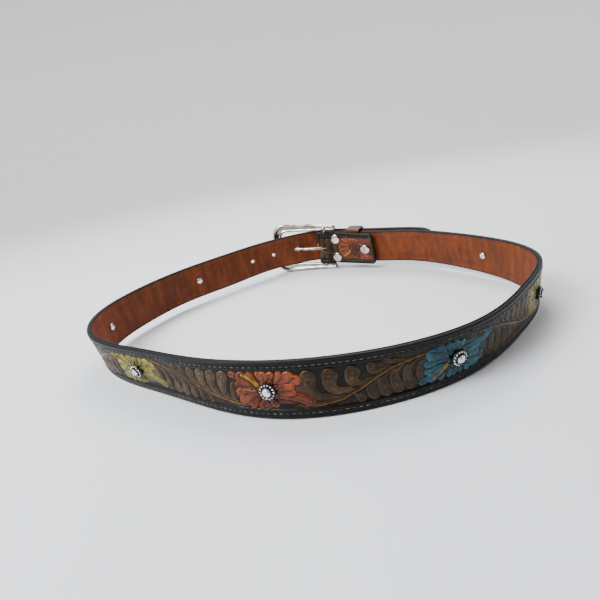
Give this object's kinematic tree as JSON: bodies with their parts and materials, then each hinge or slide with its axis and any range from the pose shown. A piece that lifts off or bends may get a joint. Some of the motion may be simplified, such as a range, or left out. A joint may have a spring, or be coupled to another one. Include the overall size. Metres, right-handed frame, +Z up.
{
  "type": "western tooled belt",
  "caption": "Leather belt fastened into a loop, with floral tooling, a curved frame buckle with prong, a keeper, post screws and crystal conchos.",
  "frame": {"origin": "centre of the belt's box, on the floor it stands on", "axes": "+X to the right across the loop, +Y to the back where the buckle is, +Z up"},
  "size_m": [0.3228, 0.2938, 0.0532],
  "materials": {
    "tooled_leather": "carved and dyed leather, burnished, satin",
    "lining_leather": "smooth russet leather, satin",
    "keeper_leather": "russet leather, burnished edge",
    "bright_metal": "polished silver-coloured metal",
    "screw_steel": "satin steel",
    "silver": "antiqued silver-coloured metal",
    "clear_crystal": "clear, cut"
  },
  "bodies": {
    "root": {"strap": "tooled_leather", "lining": "lining_leather", "keeper": "keeper_leather", "buckle_frame": "bright_metal", "prong": "bright_metal", "post_screw_1": "screw_steel", "post_screw_2": "screw_steel", "post_screw_3": "screw_steel", "concho_1": "silver", "concho_2": "silver", "concho_3": "silver", "concho_4": "silver", "concho_5": "silver", "concho_6": "silver", "concho_7": "silver", "crystal_1": "clear_crystal", "crystal_2": "clear_crystal", "crystal_3": "clear_crystal", "crystal_4": "clear_crystal", "crystal_5": "clear_crystal", "crystal_6": "clear_crystal", "crystal_7": "clear_crystal", "rivet_back_1": "silver", "rivet_back_2": "silver", "rivet_back_3": "silver", "rivet_back_4": "silver", "rivet_back_5": "silver", "rivet_back_6": "silver", "rivet_back_7": "silver"}
  },
  "joints": []
}
